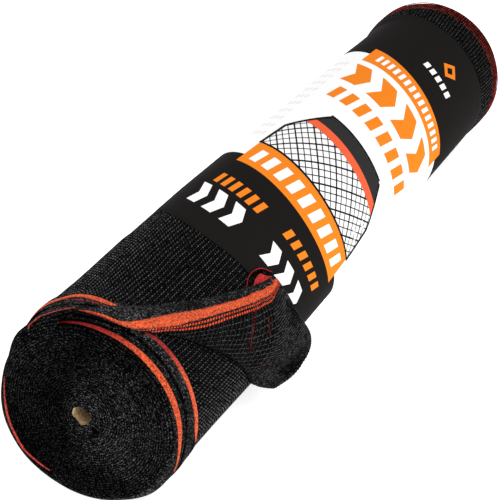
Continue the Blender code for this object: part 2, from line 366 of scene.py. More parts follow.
def knit_material(name, tones, loops_to_metre, strength=1.0, ring_depth=0.0, shade_side=False):
    """Knitted black yarn: a speckle of dark gaps and lit loops, whose brightest tones are painted glints,
    in rings where turns lie edge on. shade_side paints light and shade on the near face: brighter
    near the right of its hole and darker away from it."""
    stops = [(place, grey(strength * tone)) for place, tone in tones]
    material = plain_material(name, stops[0][1], 0.7, 0.03)
    places = add_node(material, "ShaderNodeTexCoord")
    loops = add_node(material, "ShaderNodeTexVoronoi", Scale=loops_to_metre)
    join(material, places, "Object", loops, "Vector")
    chance = add_node(material, "ShaderNodeSeparateColor")
    join(material, loops, "Color", chance, "Color")
    loop_tones = ramp_from(material, chance, "Red", stops)
    centred = add_node(material, "ShaderNodeMapping", Location=(-ROLL_X, 0.0, -0.1215))
    join(material, places, "Object", centred, "Vector")
    rings = add_node(material, "ShaderNodeTexWave", Scale=92.0, Distortion=0.9, Detail_Scale=0.4)
    rings.wave_type = "RINGS"
    rings.rings_direction = "Y"
    join(material, centred, "Vector", rings, "Vector")
    patches = noise_tones(material, places, 16.0, 3.0, 0.5, ((0.35, grey(0.45)), (0.65, grey(1.0))))[1]
    ring_tones = ramp_from(material, rings, "Fac", ((0.15, grey(1.0 - ring_depth)), (0.6, grey(1.0))))
    shaded = multiplied(material, patches, "Color", ring_tones, "Color")
    mixed = multiplied(material, loop_tones, "Color", shaded, 2)
    # painted light and shade: the near face is brightened near the right of its hole and darkened away from
    # it
    if shade_side:
        away = add_node(material, "ShaderNodeVectorMath")
        away.operation = "DISTANCE"
        away.inputs[1].default_value = (0.05, -0.652, 0.004)
        join(material, centred, "Vector", away, 0)
        painted_light_falloff = add_node(material, "ShaderNodeMapRange", From_Min=0.02, From_Max=0.088)
        painted_light_falloff.inputs["To Min"].default_value = 1.5
        painted_light_falloff.inputs["To Max"].default_value = 0.33
        join(material, away, "Value", painted_light_falloff, "Value")
        mixed = multiplied(material, mixed, 2, painted_light_falloff, "Result")
    join_shader(material, mixed, 2, "Base Color")
    bump_from(material, chance, "Green", 0.8, 0.0005)
    return material


def lattice_material(name, cells_per_u, cells_per_v, dark, light):
    """Squares of net seen below another layer, drawn in the piece's own UV map. They are dark gaps
    between lighter yarns, and both are a trace blue."""
    gap_tone = (dark, dark, dark + 0.0001)
    yarn_tone = (light, light, 1.05 * light)
    material = plain_material(name, gap_tone, 0.7, 0.02)
    places = add_node(material, "ShaderNodeTexCoord")
    scaled = add_node(material, "ShaderNodeMapping", Scale=(cells_per_u, cells_per_v, 1.0))
    join(material, places, "UV", scaled, "Vector")
    squares = add_node(
        material, "ShaderNodeTexBrick", Color1=(*gap_tone, 1.0), Color2=(*gap_tone, 1.0),
        Mortar=(*yarn_tone, 1.0), Scale=1.0, Mortar_Size=0.16, Mortar_Smooth=0.6, Brick_Width=1.0,
        Row_Height=1.0,
    )
    squares.offset = 0.0
    join(material, scaled, "Vector", squares, "Vector")
    join_shader(material, squares, "Color", "Base Color")
    bump_from(material, squares, "Fac", 0.6, 0.0006)
    return material


# The top stops of these tones are painted glints on the black yarn; the low stops are its own black.
FACE_TONES = ((0.0, 0.0008), (0.48, 0.005), (0.8, 0.036), (1.0, 0.21))
BORDER_TONES = ((0.0, 0.001), (0.4, 0.008), (0.8, 0.034), (1.0, 0.15))
face_knit = knit_material("knit_face", FACE_TONES, 880.0, 1.0, 0.8, True)
border_knit = knit_material("knit_border", BORDER_TONES, 700.0)
# A copy of the border's knit at 0.18 of its brightness: painted shade for the grooves, the face's notch,
# the outer ply past its stripe and the curl's inside.
painted_shade_knit = knit_material("knit_painted_shade", BORDER_TONES, 560.0, 0.18)
net_ground = lattice_material("net_second_layer", 252.0, 315.0, 0.0008, 0.005)

NOTCH_ANGLE = 308.0
LIP_ROWS = 5
# The hole's ragged outline in the near face, where the inner turns slump over the core's rim
HOLE_RADIUS = (
    # angle, radius
    (0.0, 0.0107), (15.0, 0.0108), (41.0, 0.0106), (55.0, 0.0094), (70.0, 0.0091), (88.0, 0.0097),
    (103.0, 0.012), (118.0, 0.0144), (135.0, 0.015), (152.0, 0.0175), (165.0, 0.0165), (180.0, 0.0169),
    (186.0, 0.0165), (203.0, 0.0128), (222.0, 0.0121), (236.0, 0.0126), (250.0, 0.0141), (262.0, 0.0125),
    (276.0, 0.0114), (300.0, 0.0098), (341.0, 0.0107), (360.0, 0.0107),
)


def face_rows(table, first, pitch, parts):
    """Rings of one face, several to each turn that shows, the first of them in the groove."""
    by_radius = sorted((row[1], row[0]) for row in table)
    turns = int((by_radius[-1][0] - first) / pitch)
    spots = [(first + (turn + part) * pitch, turn, part) for turn in range(turns) for part in parts]
    return [(along_table(by_radius, radius), radius, turn, part) for radius, turn, part in spots]


near_rows = face_rows(NEAR_FACE, FIRST_TURN, 0.0017, (0.0, 0.3, 0.7))
far_rows = face_rows(FAR_FACE, 0.018, 0.0034, (0.0, 0.5))[::-1]
side_rows = [RIM_Y + 0.0011 * i for i in range(44)] + [0.06 + 0.007 * i for i in range(33)]
side_rows += [0.3 + 0.1 * i for i in range(9)] + [1.16, 1.19]
side_rows += [1.205 + 0.0044 * i for i in range(18)]
NET_ROWS = LIP_ROWS + len(near_rows) + len(side_rows) + len(far_rows) + 2


def wound_place(u, v):
    """A point of the whole skin, from the lip in the near hole to the far hole and back to the lip."""
    angle = -180.0 + 360.0 * u
    turn = math.radians(angle)
    row = round(v * (NET_ROWS - 1)) % (NET_ROWS - 1)
    hole = along_table(HOLE_RADIUS, angle % 360.0)
    lip = (
        (0.0058, 0.0171), (0.0056, hole + 0.0004), (0.0046, hole), (0.0036, hole + 0.0009),
        (0.003, 0.6 * hole + 0.4 * FIRST_TURN),
    )
    if row < LIP_ROWS:
        return on_face(angle, *lip[row], NEAR_RIM)
    row -= LIP_ROWS
    if row < len(near_rows):
        y, radius, number, part = near_rows[row]
        wave = noise.noise(Vector((number * 0.61, 2.0 * math.cos(turn), 2.0 * math.sin(turn))))
        ridge = 0.0 if part else 0.0011
        uneven = (ridge + 0.0009 * wave) * smooth_step(0.018, 0.024, radius) * fading(0.106, 0.114, radius)
        notch = fading(9.0, 17.0, angle_apart(angle, NOTCH_ANGLE)) * fading(0.026, 0.029, radius)
        return on_face(angle, y + uneven + 0.006 * notch, radius, NEAR_RIM)
    row -= len(near_rows)
    if row < len(side_rows):
        return on_roll(angle, side_rows[row], 0.0)
    row -= len(side_rows)
    if row < len(far_rows):
        y, radius, number, part = far_rows[row]
        ridge = 0.0 if part else 0.0011
        fade = smooth_step(0.018, 0.028, radius) * fading(0.112, 0.122, radius)
        return on_face(angle, y - ridge * fade, radius, FAR_RIM)
    return on_face(angle, 1.2985, 0.0171, FAR_RIM)


def wound_finish(polygon):
    """0 a face's rings, 1 the side's second layer, 2 the bare border, 3 painted shade in a groove or the
    notch.
    """
    x = polygon.center.x - ROLL_X
    y_m = polygon.center.y + ROLL_LENGTH / 2.0
    reach = math.hypot(x, polygon.center.z - AXIS_HEIGHT)
    if 0.05 < y_m < 1.29 and reach > 0.11:
        return 1
    if y_m < 0.014 and reach < 0.035:
        from_core = Vector((x - CORE_CENTRE[0], polygon.center.z - CORE_CENTRE[1]))
        angle = math.degrees(math.atan2(from_core.y, from_core.x))
        # the notch is a real dent in the face; its black is painted shade
        in_notch = angle_apart(angle, NOTCH_ANGLE) < 12.0
        return 3 if in_notch and 0.0165 < from_core.length < 0.0285 else 0
    if y_m < 0.0501 and reach > 0.1205:
        return 3 if 0.0172 < y_m < 0.0208 or 0.0256 < y_m < 0.0286 else 2
    return 0


wound_net = make_grid("wound_net", 216, NET_ROWS - 1, wound_place, face_knit, merge=0.00001)
for corner in wound_net.data.uv_layers[0].data:
    side_row = round(corner.uv[1] * (NET_ROWS - 1)) - LIP_ROWS - len(near_rows)
    corner.uv = corner.uv[0], side_rows[min(max(side_row, 0), len(side_rows) - 1)]
give_finishes(wound_net, (net_ground, border_knit, painted_shade_knit), wound_finish)
lies_on_roll(wound_net)
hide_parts("net_roll")

# The last turn at the near end's upper left, where the netting is drawn back by its folded corner:
# two plies of the same knitted cloth, the inner one's edge in front and the outer one's behind it.
# A turned angle past 360 is the turn below the last one.
EDGE_A = (
    (60.0, 0.019), (90.0, 0.0185), (97.0, 0.0178), (104.0, 0.0085), (109.0, -0.003), (116.0, -0.011),
    (130.0, -0.015), (180.0, -0.018),
)
STRIPE_A = (
    (60.0, 0.0165), (85.0, 0.02), (92.0, 0.0235), (96.0, 0.0262), (101.0, 0.0285), (107.0, 0.0225),
    (113.0, 0.016), (118.0, 0.0105), (125.0, 0.006), (140.0, 0.006), (150.0, 0.0055), (162.0, 0.001),
    (175.0, -0.0033), (187.0, -0.0054), (207.0, -0.0062), (217.0, -0.0057), (226.0, -0.0084),
    (240.0, -0.012),
)
STRIPE_B = (
    (72.0, 0.0515), (79.0, 0.0525), (88.0, 0.0535), (98.0, 0.0598), (106.0, 0.0655), (112.0, 0.0655),
    (118.0, 0.0612), (130.0, 0.0565), (180.0, 0.056), (270.0, 0.061), (340.0, 0.061), (347.0, 0.055),
    (354.5, 0.0515), (369.6, 0.0471), (381.5, 0.0461), (400.0, 0.0453), (410.0, 0.0444), (418.6, 0.0418),
    (440.0, 0.04), (470.0, 0.04),
)


def ply_a_point(turned, distance, height):
    """A point over the last turn's inner ply, which is level across the steps below it."""
    near = smooth_step(62.0, 76.0, turned) * fading(136.0, 158.0, turned)
    top = side_at(0.034, turned)
    below = side_at(max(distance, RIM_Y), turned)
    share = smooth_step(-0.01, RIM_Y, distance) * near
    level = (top[0] - below[0]) * share
    centre = along_table(STRIPE_A, turned)
    crest = smooth_step(centre - 0.014, centre - 0.002, distance)
    slope_down = smooth_step(centre + 0.001, centre + 0.012, distance)
    rise = 0.0006 + 0.003 * crest * (1.0 - 1.15 * slope_down)
    point = over_rim(turned % 360.0, distance, level + rise * near + height - 0.0004 * (1.0 - near))
    point.z += (top[2] - below[2]) * share
    return point


def ply_b_point(turned, distance, height):
    """A point over the last turn's outer ply, which stands up a little from the turns below it."""
    angle = turned % 360.0
    near = smooth_step(64.0, 76.0, turned) * fading(126.0, 150.0, turned) * fading(0.112, 0.2, distance)
    if near:
        lift = max(0.0006, 0.0036 - last_turn_lift(turned, distance)) * fading(0.066, 0.1, distance)
        lift += max(0.0, side_at(0.037, angle)[0] - side_at(distance, angle)[0])
        wave = 0.0006 * math.sin(math.radians(turned) * 9.0)
        height += (lift + wave + 0.0003) * near
    return over_rim(angle, distance, height)


def ply_a_place(u, v):
    turned = 62.0 + 100.0 * u
    edge = along_table(EDGE_A, turned)
    end = along_table(STRIPE_A, turned) + 0.014
    return ply_a_point(turned, edge + (end - edge) * v, 0.0)


def ply_b_place(u, v):
    turned = 64.0 + 90.0 * u
    edge = 0.043 + 0.0008 * math.sin(math.radians(turned) * 7.0)
    return ply_b_point(turned, edge + (0.112 - edge) * v ** 1.4, 0.0)


def ply_b_finish(polygon):
    """0 the border, 1 the shade past the stripe."""
    x = polygon.center.x - ROLL_X
    turned = math.degrees(math.atan2(polygon.center.z - AXIS_HEIGHT, x)) % 360.0
    past_stripe = along_table(STRIPE_B, turned) + 0.0055
    return 1 if polygon.center.y + ROLL_LENGTH / 2.0 > past_stripe else 0


def select_only(things):
    """Selects these things alone, the first of them active."""
    bpy.ops.object.select_all(action="DESELECT")
    for thing in things:
        thing.select_set(True)
    bpy.context.view_layer.objects.active = things[0]


def shaped(thing, kind, **settings):
    """Adds a modifier with its settings and keeps the result."""
    select_only([thing])
    modifier = thing.modifiers.new("Shape", kind)
    for name, value in settings.items():
        setattr(modifier, name, value)
    bpy.ops.object.modifier_apply(modifier=modifier.name)
    return thing


def thickened(thing, thickness, offset):
    return shaped(thing, "SOLIDIFY", thickness=thickness, offset=offset)


ply_a = make_grid("last_turn_inner_ply", 96, 30, ply_a_place, face_knit, flip=True)
lies_on_roll(thickened(ply_a, 0.0006, -1.0))
ply_b = make_grid("last_turn_outer_ply", 90, 34, ply_b_place, border_knit, flip=True)
lies_on_roll(thickened(ply_b, 0.0006, -1.0))
give_finishes(ply_b, (painted_shade_knit,), ply_b_finish)

# The netting's squares on the bare parts of the side: flat-knitted cords that cross every 6.35 mm.
# One cord each way is made, repeated into a flat net and laid round the roll.
CELL = 0.00635
CELLS_ROUND = 126
CORD_WIDTH = 0.0011
WIDTH_B = (
    (72.0, 0.0015), (79.0, 0.0035), (88.0, 0.0075), (98.0, 0.009), (300.0, 0.009), (318.0, 0.0004),
    (338.0, 0.0004), (350.0, 0.0084), (369.0, 0.0084), (400.0, 0.0078), (410.0, 0.0064), (418.0, 0.0054),
    (470.0, 0.005),
)


def yarn_material(name, cells, dark, light, knot_tone):
    """Shiny flat yarn, its shine painted into its colour: the light tone, lightest between the knots, is
    painted sheen on the dark yarn. cells is how many squares its UV map spans.
    """
    material = plain_material(name, light, 0.5, 0.06)
    places = add_node(material, "ShaderNodeTexCoord")
    parts = add_node(material, "ShaderNodeSeparateXYZ")
    join(material, places, "UV", parts, "Vector")
    steps = add_node(material, "ShaderNodeMath")
    steps.operation = "MULTIPLY"
    steps.inputs[1].default_value = cells
    join(material, parts, "X", steps, 0)
    within = add_node(material, "ShaderNodeMath")
    within.operation = "FRACT"
    join(material, steps, "Value", within, 0)
    # the dashes carry the painted sheen, lightest between the knots
    dash_stops = ((0.14, knot_tone), (0.34, grey(1.0)), (0.68, grey(1.0)), (0.88, knot_tone))
    dashes = ramp_from(material, within, "Value", dash_stops)
    patches = noise_tones(material, places, 170.0, 3.0, 0.7, ((0.38, dark), (0.66, light)))[1]
    join_shader(material, multiplied(material, dashes, "Color", patches, "Color"), 2, "Base Color")
    return material


def joined(things):
    select_only(things)
    bpy.ops.object.join()
    return things[0]


def ridge(v, crest, foot):
    """The height across a cord two faces wide: its crest in the middle, its feet at the sides."""
    return crest if abs(v - 0.5) < 0.1 else foot


def flat_cords(name, length, cells, height, material, sideways, count):
    """Low ridges side by side, from 0 to length along X, or along Y if sideways."""
    def place(u, v):
        across = (v - 0.5) * CORD_WIDTH
        rise = ridge(v, height, -0.0003)
        return Vector((across, u * length, rise)) if sideways else Vector((u * length, across, rise))
    cord = make_grid(name, cells * 2, 2, place, material, flip=sideways)
    step = (CELL, 0.0, 0.0) if sideways else (0.0, CELL, 0.0)
    return shaped(
        cord, "ARRAY", count=count, use_relative_offset=False, use_constant_offset=True,
        constant_offset_displace=step,
    )


def laid_net(name, cells_along, start, seed, light):
    """A net of cords round the whole side. start(angle) is the y_m where it begins."""
    along_yarn = yarn_material(name + "_along", cells_along, grey(0.006), grey(light), grey(0.04))
    round_yarn = yarn_material(name + "_round", CELLS_ROUND, grey(0.003), (0.026, 0.026, 0.027), grey(0.4))
    girth = CELLS_ROUND * CELL
    net = joined([
        flat_cords(name, cells_along * CELL, cells_along, 0.0008, along_yarn, False, CELLS_ROUND),
        flat_cords(name + "_round", girth, CELLS_ROUND, 0.0005, round_yarn, True, cells_along + 1),
    ])
    for vertex in net.data.vertices:
        distance, turned, height = vertex.co
        drift = noise.noise(Vector((distance * 18.0, turned * 18.0, seed)))
        slip = noise.noise(Vector((turned * 22.0, distance * 22.0, seed + 5.0)))
        angle = -180.0 + 360.0 * (turned + 0.0016 * drift) / girth
        vertex.co = ply_b_point(angle % 360.0, start(angle) + distance + 0.0016 * slip, height + 0.0003)
    return lies_on_roll(net)


def along_stripe(centres, widths, turned, across):
    """The y_m at a share across a stripe of these centres and widths."""
    return along_table(centres, turned) + across * along_table(widths, turned)


def net_start(angle):
    """The near net begins past the second ply's stripe."""
    turned = angle % 360.0
    turned += 360.0 if turned < 72.0 else 0.0
    return along_stripe(STRIPE_B, WIDTH_B, turned, 0.5) + 0.001


laid_net("near_net", 62, net_start, 1.0, 0.17)
laid_net("far_net", 9, lambda angle: 1.207, 2.0, 0.16)

# The woven edge stripes: bright orange yarn knitted in just inside each edge of the netting. Each
# is a ribbed band laid on its ply; the turn below the last one is in its shade, and that shade is
# painted into the band as dark red, as is the shade on the outer ply's stripe under the loose end.
ORANGE = (0.93, 0.13, 0.034)
RIB_PITCH = 0.0013
WIDTH_A = (
    (99.0, 0.0004), (103.0, 0.0014), (112.0, 0.0018), (126.0, 0.001), (130.0, 0.0002), (164.0, 0.0004),
    (186.0, 0.0032), (225.0, 0.0036), (234.0, 0.0022), (240.0, 0.0004),
)
BELOW_CENTRE = ((333.0, 0.015), (345.0, 0.014), (372.0, 0.0128), (440.0, 0.0124), (472.0, 0.0142))
BELOW_WIDTH = (
    (333.0, 0.0006), (345.0, 0.0058), (372.0, 0.008), (410.0, 0.0088), (440.0, 0.0074), (460.0, 0.0056),
    (472.0, 0.003),
)
EDGE_THREAD_B = (
    (79.0, 0.0474), (85.6, 0.0452), (92.0, 0.0462), (98.9, 0.0489), (107.0, 0.0524), (112.0, 0.0545),
)


def woven_material(name, stops):
    """Orange yarn whose tone runs along the band's UV map, with a fine weave."""
    material = plain_material(name, ORANGE, 0.7, 0.2)
    places = add_node(material, "ShaderNodeTexCoord")
    parts = add_node(material, "ShaderNodeSeparateXYZ")
    join(material, places, "UV", parts, "Vector")
    ramp = ramp_from(material, parts, "X", stops)
    weave_stops = ((0.4, (0.26, 0.22, 0.32)), (0.6, grey(1.0)))
    weave, tones = noise_tones(material, places, 430.0, 3.0, 0.7, weave_stops)
    join_shader(material, multiplied(material, ramp, "Color", tones, "Color"), 2, "Base Color")
    bump_from(material, weave, "Fac", 0.5, 0.0004)
    return material


def ribbed_band(name, length, point, material, flip=True):
    """A band of ribs across it. point(u, across, height) places it; across runs from -0.5 to 0.5."""
    ribs = max(8, int(length / RIB_PITCH))

    def place(u, v):
        raised = round(u * ribs * 2) % 2
        frayed = 0.16 * noise.noise(Vector((u * ribs * 0.55, 4.0 if v > 0.5 else 9.0, length * 50.0)))
        across = (v - 0.5) * ((1.08 if raised else 0.88) + frayed)
        rise = 0.0003 * raised if abs(v - 0.5) <= 0.45 else -0.0005
        return point(u, across, rise)

    return lies_on_roll(make_grid(name, ribs * 2, 8, place, material, flip=flip))


def band_a_point(first, last, height):
    def point(u, across, rise):
        turned = first + (last - first) * u
        return ply_a_point(turned, along_stripe(STRIPE_A, WIDTH_A, turned, across), height + rise)
    return point


def edge_thread_point(u, across, rise):
    """A dull red edge thread that shows here and there beside the outer ply's stripe."""
    turned = 79.0 + 33.0 * u
    shows = smooth_step(-0.3, 0.1, noise.noise(Vector((turned * 0.3, 2.0, 7.0))))
    distance = along_table(EDGE_THREAD_B, turned) + across * 0.0024
    return ply_b_point(turned, distance, 0.003 * shows - 0.002 + rise)


def band_b_point(u, across, rise):
    turned = 74.0 + 350.0 * u
    distance = along_stripe(STRIPE_B, WIDTH_B, turned, across)
    tucked_in = smooth_step(0.0004, 0.002, along_table(WIDTH_B, turned))
    return ply_b_point(turned, distance, 0.0025 * tucked_in - 0.002 + rise)


def band_below_point(u, across, rise):
    turned = 333.0 + 139.0 * u
    distance = along_stripe(BELOW_CENTRE, BELOW_WIDTH, turned, across)
    return over_rim(turned % 360.0, min(distance, 0.0168), 0.0008 + rise)


dull_orange = woven_material("orange_inner_ply", ((0.0, (0.62, 0.06, 0.03)), (1.0, (0.55, 0.045, 0.028))))
ribbed_band("stripe_inner_ply", 0.06, band_a_point(99.0, 125.0, 0.0016), dull_orange)
ribbed_band("stripe_inner_ply_low", 0.17, band_a_point(165.0, 240.0, 0.0008), dull_orange)
dull_red = woven_material("red_edge_thread", ((0.0, (0.4, 0.022, 0.018)), (1.0, (0.26, 0.016, 0.015))))
ribbed_band("edge_thread_outer_ply", 0.075, edge_thread_point, dull_red)
# painted shade: the outer ply's stripe turns dark red where it runs in under the loose end
OUTER_STOPS = ((0.0, ORANGE), (0.89, ORANGE), (0.935, (0.5, 0.03, 0.022)), (1.0, (0.3, 0.014, 0.012)))
ribbed_band("stripe_outer_ply", 0.77, band_b_point, woven_material("orange_outer_ply", OUTER_STOPS))
# painted shade: the turn below turns dark red towards the top, under the last turn
BELOW_STOPS = ((0.0, ORANGE), (0.56, ORANGE), (0.74, (0.5, 0.03, 0.02)), (0.86, (0.3, 0.01, 0.01)))
ribbed_band("stripe_turn_below", 0.38, band_below_point, woven_material("orange_turn_below", BELOW_STOPS))

# The far end's edge threads: thin red yarn knitted into the netting near its folded edge. The
# wound turns show them as five rings side by side.
ring_yarn = yarn_material("ring_yarn", 180.0, (0.07, 0.007, 0.007), (0.5, 0.055, 0.035), (0.12, 0.1, 0.1))


def ring_cord(number):
    def place(u, v):
        angle = -180.0 + 360.0 * u
        y = 1.26 + 0.0068 * number + (v - 0.5) * 0.0016
        y += 0.0007 * math.sin(math.radians(angle) * 5.0 + number)
        return on_roll(angle, min(y, 1.29), ridge(v, 0.001, -0.0002))
    return make_grid("far_edge_threads", 240, 2, place, ring_yarn, flip=True)


lies_on_roll(joined([ring_cord(number) for number in range(5)]))

# The printed wrap: one strip of satin paper round the netting, its end lapped over its start and
# stuck at the back. The print is in panels with plain bars, chevrons and a lattice.
WRAP_TURNS = 375.0
WRAP_HEIGHT = 0.0013
LEFT_LIMB = 141.0
WRAP_ROWS = (
    # Each printed row dips towards one angle and bows away on both sides of it: the row's place, how
    # much it bows above and below that angle, and the angle
    (0.28, 0.15, 0.03, 62.0), (0.461, 0.093, 0.095, 34.0), (0.53, 0.093, 0.095, 32.0),
    (0.923, 0.07, 0.04, 14.0), (0.975, 0.088, 0.06, 18.0), (1.2, 0.04, 0.05, 25.0),
)
WRAP_PANELS = ((0.28, 0.485, 1), (0.485, 0.952, 0), (0.952, 1.2, 1))
wrap_rows = []
for start, end, ink in WRAP_PANELS:
    steps = round((end - start) / 0.012)
    wrap_rows += [(start + (end - start) * step / steps, ink) for step in range(steps)]
wrap_rows.append((1.2, 1))


def print_material(name, colour, roughness):
    """Satin printed paper, a little mottled by the press and the fibres."""
    material = plain_material(name, colour, roughness, 0.02)
    stops = ((0.3, tuple(0.97 * part for part in colour)), (0.7, colour))
    mottle, tones = noise_tones(material, add_node(material, "ShaderNodeTexCoord"), 60.0, 5.0, 0.6, stops)
    join_shader(material, tones, "Color", "Base Color")
    bump_from(material, mottle, "Fac", 0.03, 0.0006)
    return material


paper_white = print_material("paper_white", (0.95, 0.95, 0.95), 0.45)
ink_black = print_material("ink_black", (0.0125, 0.0105, 0.0105), 0.5)
ink_orange = print_material("ink_orange", (0.88, 0.235, 0.018), 0.5)
ink_band = print_material("ink_band", (0.85, 0.125, 0.05), 0.5)
ink_pale = print_material("ink_pale", (0.8, 0.8, 0.8), 0.6)
ink_net = print_material("ink_net", (0.03, 0.03, 0.03), 0.6)


def row_bow(angle, above, below, centre):
    bow = above if (angle - centre) % 360.0 < 180.0 else below
    return bow * (1.0 - math.cos(math.radians(angle - centre)))


def hermite(start, end, start_slope, end_slope, u):
    """A cubic from start to end with the given slopes, for u from 0 to 1."""
    weight = 3.0 * u ** 2 - 2.0 * u ** 3
    leaving = (u ** 3 - 2.0 * u ** 2 + u) * start_slope
    return start + (end - start) * weight + leaving + (u ** 3 - u ** 2) * end_slope


def wrap_point(angle, y_row, height):
    """A point over the netting at a place on the wrap's own length, along its bowed rows."""
    above, below, centre = [along_table([(row[0], row[i]) for row in WRAP_ROWS], y_row) for i in (1, 2, 3)]
    round_way = (angle - LEFT_LIMB) % 360.0
    if round_way > 180.0:
        bowed = row_bow(angle, above, below, centre)
    else:
        left = row_bow(LEFT_LIMB, above, below, centre)
        right = row_bow(LEFT_LIMB + 180.0, above, below, centre)
        rising = above * math.sin(math.radians(LEFT_LIMB - centre)) * 1.2
        falling = -below * math.sin(math.radians(centre - LEFT_LIMB + 180.0)) * 1.2
        bowed = hermite(left, right, rising, falling, round_way / 180.0)
    return on_roll(angle, y_row + bowed, height)


def wrap_place(u, v):
    turned = WRAP_TURNS * u
    lap = smooth_step(345.0, 357.5, turned)
    y_row = wrap_rows[round(v * (len(wrap_rows) - 1))][0]
    return wrap_point(205.0 + turned, y_row, WRAP_HEIGHT * (1.0 + lap))


def wrap_finish(polygon):
    low = min(wrap.data.uv_layers[0].data[corner].uv[1] for corner in polygon.loop_indices)
    return wrap_rows[round(low * (len(wrap_rows) - 1))][1]


wrap = make_grid("printed_wrap", 150, len(wrap_rows) - 1, wrap_place, paper_white, flip=True)
give_finishes(wrap, (ink_black, ink_orange), wrap_finish)
thickened(wrap, 0.001, -1.0)


def print_shape(corners, ink, layer=1):
    """A four-cornered patch of ink. Its corners are (angle, y) on the wrap, in order round it."""
    span = max(abs(corners[0][0] - corners[1][0]), abs(corners[3][0] - corners[2][0]))

    def place(u, v):
        low = [a + (b - a) * u for a, b in zip(corners[0], corners[1])]
        high = [a + (b - a) * u for a, b in zip(corners[3], corners[2])]
        angle, y_row = [a + (b - a) * v for a, b in zip(low, high)]
        return wrap_point(angle, y_row, WRAP_HEIGHT + 0.00012 * layer)

    return make_grid("print", max(2, round(span / 2.5)), 3, place, ink)


def bars(count, angle, step, width, low, high, ink, lean=2.0, layer=1):
    """A row of slanted bars. angle is where the first starts at its low end; step, width and lean are
    in degrees."""
    shapes = []
    for number in range(count):
        start = angle - step * number
        corners = ((start, low), (start - width, low), (start - width - lean, high), (start - lean, high))
        shapes.append(print_shape(corners, ink, layer))
    return shapes


def chevrons(count, angle, step, width, depth, low, high, ink):
    """A row of chevrons, each two slanted bars that meet in a point."""
    middle = 0.5 * (low + high)
    lower = bars(count, angle, step, width, low, middle, ink, depth)
    return lower + bars(count, angle - depth, step, width, middle, high, ink, -depth)


prints = [print_shape(((104.0, 0.461), (-10.0, 0.461), (-7.0, 0.531), (101.0, 0.531)), ink_orange)]
prints += [print_shape(((98.0, 0.923), (-9.0, 0.923), (-8.0, 0.975), (97.0, 0.975)), ink_orange)]
prints += bars(6, 104.0, 7.4, 4.2, 0.388, 0.416, ink_orange)
prints += bars(6, 43.0, 8.0, 4.6, 0.399, 0.424, ink_orange)
prints += chevrons(3, 109.0, 15.5, 8.5, 4.0, 0.325, 0.377, paper_white)
prints += chevrons(3, 44.0, 15.0, 8.5, 4.0, 0.324, 0.372, paper_white)
prints += bars(9, 96.0, 11.2, 6.2, 0.476, 0.514, paper_white, 3.0, 2)
prints += bars(15, 88.0, 5.9, 3.2, 0.937, 0.961, paper_white, 1.2, 2)
prints += chevrons(4, 98.0, 26.0, 15.0, 7.0, 0.826, 0.904, ink_orange)
prints += bars(8, 94.0, 12.4, 7.2, 0.754, 0.8, ink_orange, 3.0)
prints += [print_shape(((48.0, 1.106), (40.0, 1.08), (32.0, 1.106), (40.0, 1.132)), ink_orange)]
prints += [print_shape(((43.5, 1.106), (40.0, 1.094), (36.5, 1.106), (40.0, 1.118)), ink_black, 2)]
prints += bars(5, 58.5, 6.8, 4.4, 1.041, 1.061, paper_white, 1.2)

# rows of pale marks on the white panel's bare parts
for row in range(11):
    low = 0.56 + 0.033 * row
    prints += bars(3, 120.0, 5.2, 2.2, low, low + 0.012, ink_pale, 1.6)
    prints += bars(3, -6.0, 5.2, 2.2, low + 0.01, low + 0.022, ink_pale, 1.6)
    if row < 4:
        prints += bars(3, 8.0 + 1.5 * row, 4.6, 2.2, low + 0.01, low + 0.022, ink_pale, 1.6)

# the lattice patch between the bars, with an orange and a black stripe across it
PATCH = ((102.0, 0.531), (-6.5, 0.531), (0.0, 0.625), (20.0, 0.704), (76.0, 0.7), (98.0, 0.61))
for start, end in zip(PATCH, PATCH[1:] + PATCH[:1]):
    across = 0.005 if abs(start[1] - end[1]) < 0.02 else 0.0
    slip = 0.0 if across else 2.4
    frame_line = (start, end, (end[0] - slip, end[1] + across), (start[0] - slip, start[1] + across))
    prints += [print_shape(frame_line, ink_black, 3)]
prints += [print_shape(((88.0, 0.647), (5.5, 0.647), (10.5, 0.667), (83.0, 0.667)), ink_band, 2)]
prints += [print_shape(((83.0, 0.667), (10.5, 0.667), (20.0, 0.704), (76.0, 0.7)), ink_net, 2)]


def inside_share(first, second, patch):
    """The shares of a line from first to second between which it lies inside a convex patch."""
    low, high = 0.0, 1.0
    for start, end in zip(patch, patch[1:] + patch[:1]):
        across = (start[1] - end[1], end[0] - start[0])
        side = [(x - start[0]) * across[0] + (y - start[1]) * across[1] for x, y in (first, second)]
        if side[0] * side[1] < 0.0:
            share = side[0] / (side[0] - side[1])
            if side[0] > 0.0:
                low = max(low, share)
            else:
                high = min(high, share)
        elif side[0] > 0.0:
            return None
    return (low, high) if high - low > 0.02 else None


for lean in (1.0, -1.0):
    for number in range(-11, 24):
        foot = 6.6 * number + 1.5 * lean
        first = (foot, 0.52)
        second = (foot + lean * 62.0, 0.72)
        shares = inside_share(first, second, PATCH)
        if shares:
            low, high = [[a + (b - a) * share for a, b in zip(first, second)] for share in shares]
            wide = 1.0 if number % 3 else 1.6
            corners = ((low[0] - wide, low[1]), (high[0] - wide, high[1]), high, low)
            prints += [print_shape(corners, ink_black)]
print_layer = joined(prints)
print_layer.name = "wrap_print"
for thing in (wrap, print_layer):
    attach(thing, "root")
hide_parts("label_wrap")

